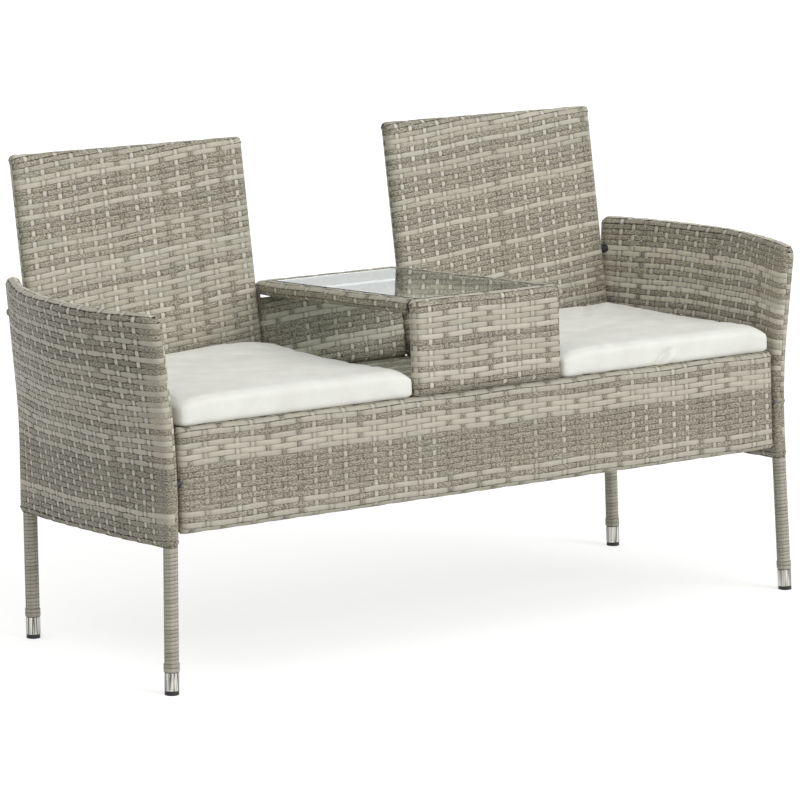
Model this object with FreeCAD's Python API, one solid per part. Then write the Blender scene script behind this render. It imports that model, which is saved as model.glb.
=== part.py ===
import FreeCAD, Part
import math
import os
from FreeCAD import Vector as V

# Two-seat garden bench with a glass-topped table between the seats.
# Bent steel tubes carry woven resin panels; two loose cushions lie on the woven deck.
# X runs along the bench and X = 0 is its symmetry plane, the front faces -Y, +Z is up.
# All sizes are millimetres.

# Tube and the flat woven strip that is wrapped round it
tube_d = 20.0
tube_wall = 1.2
bar_d = 14.0
wrap_gap = 0.3
wrap_t = 2.4
skin_t = 1.6
sheet_set = 0.2
sheet_inset = 3.6
sheet_bevel = 4.0
butt_gap = 0.2
seam_share = 0.36

# Seat box, measured before it is tilted back about its front top edge
seat_half_w = 614.5
seat_front_y = -227.0
seat_top_z = 426.6
seat_tilt = 3.05
seat_rear_y = 244.0
deck_side_set = 14.5
apron_h = 171.6
apron_bars = 3
deck_gap = 0.5
bolt_z = 336.0
back_bolt_z = 553.0

# Side frame: foot, waist and top of each post; "out" is measured outward from the seat box's side
front_foot_out = 29.5
front_foot_y = -238.0
front_waist_out = 16.5
front_waist_y = -218.0
front_top_out = 42.5
front_top_y = -213.0
rear_foot_out = 9.5
rear_foot_y = 224.0
rear_waist_out = 4.5
rear_waist_y = 240.0
rear_top_out = 22.5
rear_top_y = 249.0
waist_z = 375.0
arm_z = 598.0
arm_bow = 103.0
arm_bow_r = 500.0
arm_corner_r = 27.0
waist_r = 1200.0
side_rail_z = 246.0
side_rail_drop = 22.0
side_rail_bow = 8.0

# Feet
cap_h = 6.5
cap_d = 23.4
cap_plug_h = 22.0
ferrule_h = 29.0
ferrule_d = 24.6
ferrule_gap = 0.15
collar_h = 13.0
collar_t = 1.0
collar_gap = 1.8

# Backrests
back_side_set = 6.5
back_table_gap = 3.5
back_top_z = 804.3
back_top_y = 285.0
back_foot_gap = 0.8
back_slope = 0.18
centre_back_top_z = 525.0
centre_back_gap = 8.5

# Table between the seats, in the seat box's tilted frame
table_half_w = 152.0
table_top_z = 587.1
table_rear_y = 250.0
table_front_gap = 0.6
glass_t = 5.0
glass_drop = 0.8
glass_gap = 1.5
glass_corner_r = 6.0
ledge_w = 12.0
ledge_t = 2.0
pad_d = 9.0
pad_t = 1.0
bracket_t = 2.6
bracket_w = 24.0
bracket_drop = 26.0

# Cushions
cushion_t = 46.0
cushion_crown = 7.0
cushion_front_set = 2.5
cushion_side_gap = 3.0
cushion_back_gap = 6.0
cushion_corner_r = 26.0
cushion_edge_r = 11.0
cushion_draw = 4.0
cushion_lift = 0.3
cushion_belly = 2.0
cushion_dome_w = 150.0

# Bolts and spacers
bolt_d = 6.0
bolt_hole_gap = 0.2
bolt_head_w = 10.0
bolt_head_h = 4.0
bolt_reach = 40.0
spacer_d = 15.0
bolt_counter = 1.0
head_gap = 0.4
back_bolt_inset = 60.0

tube_r = tube_d / 2
wrap_in_r = tube_r + wrap_gap
wrap_r = wrap_in_r + wrap_t
panel_t = 2 * wrap_r
deck_half_w = seat_half_w - deck_side_set
back_in_x = table_half_w + back_table_gap
back_out_x = seat_half_w - back_side_set
bolt_counter_r = bolt_head_w / math.sqrt(3) + bolt_counter
lean = math.atan(back_slope)
lean_deg = math.degrees(lean)
apron_bottom_z = seat_top_z - apron_h
seat_depth = seat_rear_y - wrap_r - seat_front_y
back_dip = wrap_r * (1 - math.cos(lean) + math.sin(lean))
back_bottom_z = seat_top_z - seat_depth * math.sin(math.radians(seat_tilt)) + back_dip + back_foot_gap
deck_front_y = seat_front_y + panel_t + deck_gap
front_reach = front_foot_y - ferrule_d / 2
rear_reach = back_top_y + wrap_r * (1 + math.cos(lean) - math.sin(lean))
cut_reach = 2 * (seat_half_w + arm_bow + back_top_z)
depth_middle = (front_reach + rear_reach) / 2


def save(name, shape):
    """Write one sub-part with the bench centred front to back on Y = 0."""
    moved = shape.copy()
    moved.translate(V(0, -depth_middle, 0))
    moved.exportStep("parts/" + name + ".step")
    box = moved.BoundBox
    print(name, "solids", len(moved.Solids), "valid", moved.isValid(), "cm3", round(moved.Volume / 1000, 1),
          "z", round(box.ZMin, 2), round(box.ZMax, 2))


def mirrored(shape):
    """The same piece on the other side of the bench."""
    return shape.mirror(V(0, 0, 0), V(1, 0, 0))


def tilted(shape):
    """A seat box piece in place: turned back about the seat's front top edge."""
    placed = shape.copy()
    placed.rotate(V(0, seat_front_y, seat_top_z), V(1, 0, 0), -seat_tilt)
    return placed


def tilted_point(point):
    turn = math.radians(-seat_tilt)
    dy = point.y - seat_front_y
    dz = point.z - seat_top_z
    y = seat_front_y + dy * math.cos(turn) - dz * math.sin(turn)
    z = seat_top_z + dy * math.sin(turn) + dz * math.cos(turn)
    return V(point.x, y, z)


def bent_path(points, radii, closed=False):
    """Straight runs through the points, joined by tangent arcs of the given radii."""
    count = len(points)
    corners = range(count) if closed else range(1, count - 1)
    arcs = {}
    for i in corners:
        before = (points[i - 1] - points[i]).normalize()
        after = (points[(i + 1) % count] - points[i]).normalize()
        half = before.getAngle(after) / 2
        reach = radii[i] / math.tan(half)
        middle = (before + after).normalize()
        centre_reach = radii[i] / math.sin(half)
        arc_mid = points[i] + middle * (centre_reach - radii[i])
        arcs[i] = (points[i] + before * reach, arc_mid, points[i] + after * reach)
    edges = []
    steps = range(count) if closed else range(count - 1)
    for i in steps:
        j = (i + 1) % count
        start = arcs[i][2] if i in arcs else points[i]
        end = arcs[j][0] if j in arcs else points[j]
        if (end - start).Length > 0.001:
            edges.append(Part.LineSegment(start, end).toShape())
        if j in arcs:
            edges.append(Part.Arc(*arcs[j]).toShape())
    return Part.Wire(Part.__sortEdges__(edges))


def rod(path, radius, mitred=False):
    """A round solid swept along a path that starts with a straight run."""
    first = path.OrderedEdges[0]
    start = first.valueAt(first.FirstParameter)
    along = first.tangentAt(first.FirstParameter)
    if first.Orientation == "Reversed":
        start = first.valueAt(first.LastParameter)
        along = along * -1
    ring = Part.Wire([Part.makeCircle(radius, start, along)])
    return path.makePipeShell([ring], True, False, 1 if mitred else 0)


def pipe(path, outer, inner):
    return rod(path, outer).cut(rod(path, inner))


def straight(start, end, radius):
    return Part.makeCylinder(radius, (end - start).Length, start, end - start)


def straight_pipe(start, end, outer, inner):
    return straight(start, end, outer).cut(straight(start, end, inner))


def box_between(low, high):
    return Part.makeBox(high.x - low.x, high.y - low.y, high.z - low.z, low)


def loop_corners(left, right, bottom, top):
    """Corners of a panel's centre line, in the XZ plane, from bottom left anticlockwise."""
    inset = wrap_r
    return [V(left + inset, 0, bottom + inset), V(right - inset, 0, bottom + inset),
            V(right - inset, 0, top - inset), V(left + inset, 0, top - inset)]


def panel(left, right, bottom, top, bars):
    """A woven panel standing in the XZ plane with its front face at Y = 0: frame, edge and sheet.

    The frame is a mitred rectangle of tube, butted in the run of its foot, with upright bars behind
    the weave. The edge is the weave wrapped round the tube, and the sheet the weave across the front.
    """
    corner = loop_corners(left, right, bottom, top)
    butt = V(left + (right - left) * seam_share, 0, bottom + wrap_r)
    half_gap = V(butt_gap, 0, 0)
    round_again = corner[1:] + corner[:1]
    tube_path = Part.makePolygon([butt + half_gap] + round_again + [butt - half_gap])
    wrap_path = Part.makePolygon([butt] + round_again + [butt])
    frame = rod(tube_path, tube_r, True).cut(rod(tube_path, tube_r - tube_wall, True))
    edge = rod(wrap_path, wrap_r, True).cut(rod(wrap_path, wrap_in_r, True))
    sheet_front = sheet_set - wrap_r
    face_in = wrap_r + sheet_inset
    back_in = face_in + sheet_bevel
    sheet = Part.makeWedge(left + face_in, sheet_front, bottom + face_in, bottom + back_in, left + back_in,
                           right - face_in, sheet_front + skin_t, top - face_in, top - back_in, right - back_in)
    bar_r = bar_d / 2
    bar_y = sheet_front + skin_t + wrap_gap + bar_r
    reach = rod(tube_path, tube_r, True)
    for x in bars:
        low = V(x, bar_y, bottom + wrap_r)
        high = V(x, bar_y, top - wrap_r)
        bar = straight_pipe(low, high, bar_r, bar_r - tube_wall)
        frame = frame.fuse(bar.cut(reach))
        edge = edge.cut(straight(low, high, bar_r + wrap_gap))
    pieces = [frame.removeSplitter(), edge.removeSplitter(), sheet]
    for shape in pieces:
        shape.translate(V(0, wrap_r, 0))
    return pieces


def leaned(shape):
    """A backrest piece drawn upright with its foot at Z = 0, placed on the leaning back plane."""
    placed = shape.copy()
    placed.rotate(V(0, 0, 0), V(1, 0, 0), -lean_deg)
    placed.translate(V(0, back_top_y - (back_top_z - back_bottom_z) * back_slope, back_bottom_z))
    return placed


def back_face_y(z):
    """Where the backrests' front face stands at a height."""
    return back_top_y - (back_top_z - z) * back_slope


def post_point(kind, z):
    """Centre of a post between its foot and its top, along the straight runs."""
    foot = V(seat_half_w + front_foot_out, front_foot_y, 0)
    waist = V(seat_half_w + front_waist_out, front_waist_y, waist_z)
    top = V(seat_half_w + front_top_out, front_top_y, arm_z)
    if kind == "rear":
        foot = V(seat_half_w + rear_foot_out, rear_foot_y, 0)
        waist = V(seat_half_w + rear_waist_out, rear_waist_y, waist_z)
        top = V(seat_half_w + rear_top_out, rear_top_y, arm_z)
    low, high = (foot, waist) if z < waist_z else (waist, top)
    share = (z - low.z) / (high.z - low.z)
    return low + (high - low) * share


def side_path(start_z):
    """Centre line of one side frame: up the front post, round the bowed arm, down the rear post."""
    front_top = post_point("front", arm_z)
    rear_top = post_point("rear", arm_z)
    arm_middle = (front_top + rear_top) * 0.5 + V(arm_bow, 0, 0)
    points = [post_point("front", start_z), post_point("front", waist_z), front_top, arm_middle,
              rear_top, post_point("rear", waist_z), post_point("rear", start_z)]
    radii = [0, waist_r, arm_corner_r, arm_bow_r, arm_corner_r, waist_r, 0]
    return bent_path(points, radii)


def post_centre(kind, z):
    """Centre of a post where its bent tube crosses a height."""
    level = Part.makePlane(2 * cut_reach, 2 * cut_reach, V(-cut_reach, -cut_reach, z))
    crossings = [vertex.Point for vertex in side_path(0).section(level).Vertexes]
    if kind == "front":
        return min(crossings, key=lambda point: point.y)
    return max(crossings, key=lambda point: point.y)


def side_rail_ends():
    front = post_centre("front", side_rail_z)
    rear = post_centre("rear", side_rail_z - side_rail_drop)
    return front, rear


def side_rail_path():
    """Centre line of the rail that ends the arm's weave, bowed a little outward."""
    front, rear = side_rail_ends()
    middle = (front + rear) * 0.5 + V(2 * side_rail_bow, 0, 0)
    run = (rear - front).Length / 2
    half = math.atan(run / (2 * side_rail_bow))
    radius = 0.8 * run * math.tan(half)
    return bent_path([front, middle, rear], [0, radius, 0])


def bow(share):
    """Outward bow along the arm, 0 at the posts and 1 at the middle."""
    return 1 - (2 * share - 1) ** 2


def skin_edge(kind, z):
    """Where the weave meets a post: its true centre, or the straight run in the top bend."""
    if z > arm_z - 2 * arm_corner_r:
        return post_point(kind, z)
    return post_centre(kind, z)


def arm_skin_point(share, height):
    """Centre surface of the arm's weave: share runs front to rear, height from rail to arm."""
    front, rear = side_rail_ends()
    low_z = front.z + (rear.z - front.z) * share
    z = low_z + (arm_z - low_z) * height
    front_point = skin_edge("front", front.z + (arm_z - front.z) * height)
    rear_point = skin_edge("rear", rear.z + (arm_z - rear.z) * height)
    x = front_point.x + (rear_point.x - front_point.x) * share
    y = front_point.y + (rear_point.y - front_point.y) * share
    apex = arm_bow - arm_bow_r * (1 / math.cos(math.atan(2 * arm_bow / (rear_top_y - front_top_y))) - 1)
    swell = side_rail_bow + (apex - side_rail_bow) * height
    return V(x + swell * bow(share), y, z)


def arm_skin(stations=7, rows=5):
    """The barrel-shaped sheet: thin upright sections lofted from the front post to the rear post."""
    sections = []
    skin_out = wrap_r - 2.6
    for i in range(stations):
        share = i / (stations - 1)
        inner = []
        outer = []
        for j in range(rows):
            point = arm_skin_point(share, j / (rows - 1))
            inner.append(point + V(skin_out - skin_t, 0, 0))
            outer.append(point + V(skin_out, 0, 0))
        inner_edge = Part.BSplineCurve()
        inner_edge.interpolate(inner)
        outer_edge = Part.BSplineCurve()
        outer_edge.interpolate(outer)
        foot = Part.LineSegment(inner[0], outer[0]).toShape()
        head = Part.LineSegment(outer[-1], inner[-1]).toShape()
        sections.append(Part.Wire([foot, outer_edge.toShape(), head, inner_edge.toShape()]))
    sheet = Part.makeLoft(sections, True, False)
    cut_r = wrap_r + wrap_gap
    sheet = sheet.cut(rod(side_path(0), cut_r))
    sheet = sheet.cut(rod(side_rail_path(), cut_r))
    return max(sheet.Solids, key=lambda solid: solid.Volume)


def foot_axis(kind):
    low = post_point(kind, 0)
    high = post_point(kind, waist_z)
    return low, (high - low).normalize()


def foot_cylinder(kind, low_z, high_z, radius):
    """A cylinder on a leg's own axis between two heights, its ends square to the leg."""
    base, along = foot_axis(kind)
    start = base + along * (low_z / along.z)
    end = base + along * (high_z / along.z)
    return straight(start, end, radius)


def cut_level(shape, low_z, high_z):
    """The part of a shape between two level planes."""
    return shape.common(box_between(V(-cut_reach, -cut_reach, low_z), V(cut_reach, cut_reach, high_z)))


def foot_cap(kind):
    shoe = foot_cylinder(kind, -3, cap_h, cap_d / 2)
    plug = foot_cylinder(kind, cap_h - 1, cap_h + cap_plug_h, tube_r - tube_wall - ferrule_gap)
    cap = shoe.fuse(plug).removeSplitter()
    return cut_level(cap, 0, 2 * (cap_h + cap_plug_h))


def ferrule(kind):
    low_z = cap_h + 0.2
    outer = foot_cylinder(kind, low_z, low_z + ferrule_h, ferrule_d / 2)
    return outer.cut(foot_cylinder(kind, low_z - 1, low_z + ferrule_h + 1, tube_r + ferrule_gap))


def leg_collar(kind):
    """The doubled last turns of the winding just above the ferrule."""
    low_z = cap_h + ferrule_h + collar_gap
    outer = foot_cylinder(kind, low_z, low_z + collar_h, wrap_r + collar_t)
    return outer.cut(foot_cylinder(kind, low_z - 1, low_z + collar_h + 1, wrap_r - 0.4))


def cross_bolt(start, length, head_side):
    """A hexagon-head bolt along X, from the seat of its head."""
    along = V(-head_side, 0, 0)
    shank = Part.makeCylinder(bolt_d / 2, length, start, along)
    corner_r = bolt_head_w / math.sqrt(3)
    turns = [math.radians(60 * k) for k in range(7)]
    hexagon = Part.makePolygon([start + V(0, corner_r * math.cos(a), corner_r * math.sin(a)) for a in turns])
    head = Part.Face(hexagon).extrude(along * -bolt_head_h)
    return shank.fuse(head).removeSplitter()


def joint_places():
    """Where each side frame is bolted: name, post centre, x of the inner tube's centre."""
    seat_x = seat_half_w - wrap_r
    deck_x = deck_half_w - wrap_r
    back_x = back_out_x - wrap_r
    front = post_centre("front", bolt_z)
    rear = post_centre("rear", deck_rail().z)
    upper = post_centre("rear", back_bolt_z)
    return [("seat_front", front, seat_x), ("seat_rear", rear, deck_x), ("back_upper", upper, back_x)]


def side_frames():
    """Bent tube, rail, windings and barrel weave of the right side, then the left as its mirror."""
    tube_start = cap_h + 0.2
    path = side_path(tube_start)
    tube = rod(path, tube_r).cut(rod(side_path(tube_start - 5), tube_r - tube_wall))
    tube = cut_level(tube, tube_start + 1, cut_reach)
    rail_path = side_rail_path()
    rail = pipe(rail_path, bar_d / 2 + 1, bar_d / 2 + 1 - tube_wall).cut(rod(path, tube_r))
    rail = max(rail.Solids, key=lambda solid: solid.Volume)
    winding = rod(path, wrap_r).cut(rod(path, wrap_in_r))
    rail_wrap = rod(rail_path, wrap_r).cut(rod(rail_path, bar_d / 2 + 1 + wrap_gap))
    rail_wrap = rail_wrap.cut(rod(path, wrap_r + wrap_gap))
    rail_wrap = max(rail_wrap.Solids, key=lambda solid: solid.Volume)
    winding = winding.cut(rod(rail_path, bar_d / 2 + 1 + wrap_gap))
    leg_low = cap_h + ferrule_h + collar_gap
    split_front = side_rail_z - wrap_r
    split_rear = split_front - side_rail_drop
    front_box = box_between(V(0, -cut_reach, leg_low), V(cut_reach, 0, split_front))
    rear_box = box_between(V(0, 0, leg_low), V(cut_reach, cut_reach, split_rear))
    front_leg = winding.common(front_box).fuse(leg_collar("front")).removeSplitter()
    rear_leg = winding.common(rear_box).fuse(leg_collar("rear")).removeSplitter()
    low_box = box_between(V(0, -cut_reach, -1), V(cut_reach, 0, split_front + butt_gap))
    low_rear_box = box_between(V(0, 0, -1), V(cut_reach, cut_reach, split_rear + butt_gap))
    arm_winding = winding.cut(low_box).cut(low_rear_box)
    skin = arm_skin()
    bolts = []
    spacers = []
    for name, post, inner_x in joint_places():
        y = joint_y(name, post)
        hole = joint_hole(name, post)
        counter_start = V(post.x + tube_r - head_gap, y, post.z)
        counter = Part.makeCylinder(bolt_counter_r, bolt_reach, counter_start, V(1, 0, 0))
        tube = tube.cut(hole)
        arm_winding = arm_winding.cut(hole).cut(counter)
        skin = skin.cut(counter)
        seat = V(post.x + tube_r + head_gap, y, post.z)
        bolts.append(cross_bolt(seat, seat.x - inner_x, 1))
        spacer_in = inner_x + wrap_r + 0.1
        body = Part.makeCylinder(spacer_d / 2, post.x - spacer_in, V(spacer_in, y, post.z), V(1, 0, 0))
        body = body.cut(hole).cut(rod(path, wrap_r + 0.1))
        spacers.append(max(body.Solids, key=lambda solid: solid.Volume))
    skin = max(skin.Solids, key=lambda solid: solid.Volume)
    caps = {kind: foot_cap(kind) for kind in ("front", "rear")}
    ferrules = {kind: ferrule(kind) for kind in ("front", "rear")}
    right = {"side_frame_tube": tube, "side_rail": rail, "arm_winding": arm_winding, "rail_winding": rail_wrap,
             "arm_weave": skin, "front_leg_winding": front_leg, "rear_leg_winding": rear_leg,
             "front_foot_cap": caps["front"], "rear_foot_cap": caps["rear"],
             "front_ferrule": ferrules["front"], "rear_ferrule": ferrules["rear"]}
    return right, bolts, spacers


def joint_y(name, post):
    """Depth of a side bolt: halfway between the post's centre and the inner tube's centre."""
    if name == "seat_front":
        inner_y = tilted_point(V(0, seat_front_y + wrap_r, post.z)).y
    elif name == "seat_rear":
        inner_y = deck_rail().y
    else:
        inner_y = back_face_y(post.z) + wrap_r / math.cos(math.radians(lean_deg))
    return (post.y + inner_y) / 2


def joint_hole(name, post):
    """The drilling of a side bolt, from outside the post to the middle of the inner tube."""
    inner_x = {place[0]: place[2] for place in joint_places()}[name]
    length = post.x + bolt_reach - inner_x
    return Part.makeCylinder(bolt_d / 2 + bolt_hole_gap, length, V(inner_x, joint_y(name, post), post.z), V(1, 0, 0))


def drilled(shape, holes):
    """A shape with every hole cut on both sides of the bench; its largest solid is kept."""
    for hole in holes:
        shape = shape.cut(hole).cut(mirrored(hole))
    return max(shape.Solids, key=lambda solid: solid.Volume)


def deck_rail():
    """Centre of the deck's rear rail after the seat box is tilted back."""
    return tilted_point(V(0, seat_rear_y - wrap_r, seat_top_z - wrap_r))


def seat_apron():
    """The woven front panel below the seat."""
    spread = 2 * (seat_half_w - wrap_r) / (apron_bars + 1)
    bars = [spread * (k - (apron_bars - 1) / 2) for k in range(apron_bars)]
    pieces = panel(-seat_half_w, seat_half_w, apron_bottom_z, seat_top_z, bars)
    for shape in pieces:
        shape.translate(V(0, seat_front_y, 0))
    return [tilted(shape) for shape in pieces]


def seat_deck():
    """The woven deck behind the apron, with bars running front to back under it."""
    bars = [-deck_half_w * 0.65, -table_half_w, table_half_w, deck_half_w * 0.65]
    pieces = panel(-deck_half_w, deck_half_w, deck_front_y, seat_rear_y, bars)
    for shape in pieces:
        shape.rotate(V(0, 0, 0), V(1, 0, 0), -90)
        shape.translate(V(0, 0, seat_top_z))
    return [tilted(shape) for shape in pieces]


def backrest(left, right, top_z, bars):
    """One woven back panel standing on the deck's rear rail and leaning back."""
    slope_length = (top_z - back_bottom_z) / math.cos(math.radians(lean_deg))
    return [leaned(shape) for shape in panel(left, right, 0, slope_length, bars)]


def table_rim_path(start_y):
    """Centre line of the U-shaped rim tube: left side, rear, right side."""
    x = table_half_w - wrap_r
    z = table_top_z - wrap_r
    rear = table_rear_y - wrap_r
    return Part.makePolygon([V(-x, start_y, z), V(-x, rear, z), V(x, rear, z), V(x, start_y, z)])


def table_front():
    """The woven panel that carries the front of the table and stands on the apron."""
    low = seat_top_z + table_front_gap
    pieces = panel(-table_half_w, table_half_w, low, table_top_z, [0])
    for shape in pieces:
        shape.translate(V(0, seat_front_y, 0))
    return [tilted(shape) for shape in pieces]


def table_rim():
    """The U-shaped tube round the table top, and the strip wound round it."""
    path = table_rim_path(seat_front_y + panel_t + butt_gap)
    tube = rod(path, tube_r, True).cut(rod(path, tube_r - tube_wall, True))
    winding = rod(path, wrap_r, True).cut(rod(path, wrap_in_r, True))
    return tilted(tube), tilted(winding)


def rounded_plate(half_w, front, rear, low, thick, radius):
    plate = Part.makeBox(2 * half_w, rear - front, thick, V(-half_w, front, low))
    upright = [e for e in plate.Edges if abs(e.tangentAt(e.FirstParameter).z) > 0.99]
    return plate.makeFillet(radius, upright)


def table_well():
    """Half width, front and rear of the opening inside the rim."""
    return table_half_w - panel_t, seat_front_y + panel_t, table_rear_y - panel_t


def table_glass():
    half_w, front, rear = table_well()
    low = table_top_z - glass_drop - glass_t
    plate = rounded_plate(half_w - glass_gap, front + glass_gap, rear - glass_gap, low, glass_t, glass_corner_r)
    edges = [e for e in plate.Edges if abs(e.tangentAt(e.FirstParameter).z) < 0.01]
    return tilted(plate.makeChamfer(0.6, edges))


def table_ledge():
    """Flat steel ledge inside the rim, and the clear pads that the glass lies on."""
    half_w, front, rear = table_well()
    top = table_top_z - glass_drop - glass_t - pad_t
    edge = wrap_gap
    outer = rounded_plate(half_w - edge, front + edge, rear - edge, top - ledge_t, ledge_t, 2.5)
    inner = box_between(V(ledge_w - half_w, front + ledge_w, top - 10), V(half_w - ledge_w, rear - ledge_w, top + 10))
    ledge = outer.cut(inner)
    pads = []
    middle = (front + rear) / 2
    reach = (rear - front) / 2 - 30
    for x in (ledge_w / 2 - half_w, half_w - ledge_w / 2):
        for y in (middle - reach, middle, middle + reach):
            pads.append(Part.makeCylinder(pad_d / 2, pad_t, V(x, y, top)))
    return tilted(ledge), tilted(Part.makeCompound(pads))


def bracket_bolt_place():
    """Bolt centre that ties a table bracket to the backrest's inner tube."""
    z = tilted_point(V(0, table_rear_y, table_top_z - panel_t)).z - bracket_drop / 2
    return back_face_y(z) + wrap_r / math.cos(math.radians(lean_deg)), z


def table_brackets():
    """Steel tabs between the rim's rear corners and the backrests, each with one bolt."""
    y, z = bracket_bolt_place()
    inner = table_half_w + 0.2
    tabs = []
    bolts = []
    tab = Part.makeBox(bracket_t, bracket_w, bracket_drop + wrap_r, V(inner, y - bracket_w / 2, z - bracket_drop / 2))
    upright = [e for e in tab.Edges if abs(e.tangentAt(e.FirstParameter).x) > 0.99]
    tab = tab.makeFillet(4.0, upright)
    hole = Part.makeCylinder(bolt_d / 2 + bolt_hole_gap, bolt_reach, V(inner - bracket_t, y, z), V(1, 0, 0))
    tab = tab.cut(hole)
    length = back_in_x + wrap_r - inner + 4
    bolt = cross_bolt(V(inner - 0.1, y, z), length, -1)
    for shape, kept in ((tab, tabs), (bolt, bolts)):
        kept.append(shape)
        kept.append(mirrored(shape))
    return Part.makeCompound(tabs), bolts, hole


def cushion_outline(half_w, half_d, inset, z):
    """One level of a cushion: corner arcs and side arcs that are drawn in at their middles."""
    w = half_w - inset
    d = half_d - inset
    r = cushion_corner_r
    c = r * (1 - math.cos(math.radians(45)))
    corners = [(w, -d, 1, -1), (w, d, 1, 1), (-w, d, -1, 1), (-w, -d, -1, -1)]
    draws = [V(w - cushion_draw, 0, z), V(0, d - cushion_draw, z), V(cushion_draw - w, 0, z), V(0, cushion_draw - d, z)]
    arcs = []
    ends = []
    for k, (x, y, sx, sy) in enumerate(corners):
        beside = V(x - sx * r, y, z)
        along = V(x, y - sy * r, z)
        first, last = (beside, along) if k % 2 == 0 else (along, beside)
        arcs.append(Part.Arc(first, V(x - sx * c, y - sy * c, z), last).toShape())
        ends.append((first, last))
    edges = []
    for k in range(4):
        edges.append(arcs[k])
        edges.append(Part.Arc(ends[k][1], draws[k], ends[(k + 1) % 4][0]).toShape())
    return Part.Wire(edges)


def cushion():
    """The right cushion: flat underside, rounded edges, sides with a belly and a crowned top."""
    left = table_half_w + cushion_side_gap
    right = seat_half_w
    front = seat_front_y + cushion_front_set
    rear = back_face_y(back_bottom_z) - cushion_back_gap
    half_w = (right - left) / 2
    half_d = (rear - front) / 2
    r = cushion_edge_r
    levels = []
    for turn in range(0, 91, 30):
        a = math.radians(turn)
        levels.append((r * (1 - math.sin(a)) + cushion_belly, r * (1 - math.cos(a))))
    levels.append((0, cushion_t / 2))
    for turn in range(90, 29, -30):
        a = math.radians(turn)
        levels.append((r * (1 - math.sin(a)) + cushion_belly, cushion_t - r * (1 - math.cos(a))))
    crown_steps = 4
    for k in range(1, crown_steps + 1):
        share = k / crown_steps
        rise = math.sin(math.radians(90 * share))
        levels.append((r + share * cushion_dome_w, cushion_t + rise * cushion_crown))
    wires = [cushion_outline(half_w, half_d, inset, z) for inset, z in levels]
    solid = Part.makeLoft(wires, True, True)
    solid.translate(V((left + right) / 2, (front + rear) / 2, seat_top_z + cushion_lift))
    return tilted(solid)


def upright_bolt_places():
    """Where the back panels are bolted down to the deck's rear rail, near the table."""
    reach = [back_in_x - centre_back_gap - back_bolt_inset, back_in_x + back_bolt_inset]
    return [-x for x in reach] + reach


def upright_bolts():
    """Bolts from under the deck's rear rail up into the foot of each back panel, and their drillings."""
    bolts = []
    holes = []
    y = seat_rear_y - wrap_r
    low = seat_top_z - wrap_r - tube_r - 0.1
    length = 2 * wrap_r + tube_r
    for x in upright_bolt_places():
        bolt = cross_bolt(V(0, 0, 0), length, -1)
        bolt.rotate(V(0, 0, 0), V(0, 1, 0), -90)
        bolt.translate(V(x, y, low))
        bolts.append(tilted(bolt))
        hole = Part.makeCylinder(bolt_d / 2 + bolt_hole_gap, length + 1, V(x, y, low - 0.5))
        counter = Part.makeCylinder(bolt_counter_r, tube_r, V(x, y, low + tube_r / 2), V(0, 0, -1))
        holes.append((tilted(hole), tilted(counter)))
    return bolts, holes


os.makedirs("parts", exist_ok=True)

right_pieces, side_bolts, spacers = side_frames()
back_middle = (back_in_x + back_out_x) / 2
centre_half = back_in_x - centre_back_gap
panels = {"seat_apron": seat_apron(),
          "seat_deck": seat_deck(),
          "right_back": backrest(back_in_x, back_out_x, back_top_z, [back_middle]),
          "centre_back": backrest(-centre_half, centre_half, centre_back_top_z, [0]),
          "table_front": table_front()}
rim_tube, rim_winding = table_rim()
ledge, pads = table_ledge()
brackets, bracket_bolts, bracket_hole = table_brackets()
deck_bolts, deck_holes = upright_bolts()
seat_cushion = cushion()

front_hole, deck_hole, back_hole = [joint_hole(name, post) for name, post, inner_x in joint_places()]
uprights = [hole for hole, counter in deck_holes]
counters = [counter for hole, counter in deck_holes]
drillings = {"seat_apron": [front_hole],
             "seat_deck": [deck_hole] + uprights,
             "right_back": [back_hole, bracket_hole] + uprights,
             "centre_back": uprights,
             "table_front": []}

for name, (frame, edge, sheet) in panels.items():
    frame = drilled(frame, drillings[name])
    edge = drilled(edge, drillings[name] + (counters if name == "seat_deck" else []))
    for part_name, shape in ((name + "_frame", frame), (name + "_edge", edge), (name + "_weave", sheet)):
        save(part_name, shape)
        if name == "right_back":
            save(part_name.replace("right", "left"), mirrored(shape))
for name, shape in right_pieces.items():
    save("right_" + name, shape)
    save("left_" + name, mirrored(shape))
save("side_bolts", Part.makeCompound(side_bolts + [mirrored(bolt) for bolt in side_bolts]))
save("side_spacers", Part.makeCompound(spacers + [mirrored(spacer) for spacer in spacers]))
save("deck_bolts", Part.makeCompound(deck_bolts))
save("bracket_bolts", Part.makeCompound(bracket_bolts))
save("table_rim_tube", rim_tube)
save("table_rim_winding", rim_winding)
save("table_ledge", ledge)
save("table_pads", pads)
save("table_brackets", brackets)
save("table_glass", table_glass())
save("right_cushion", seat_cushion)
save("left_cushion", mirrored(seat_cushion))
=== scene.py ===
import math

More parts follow.
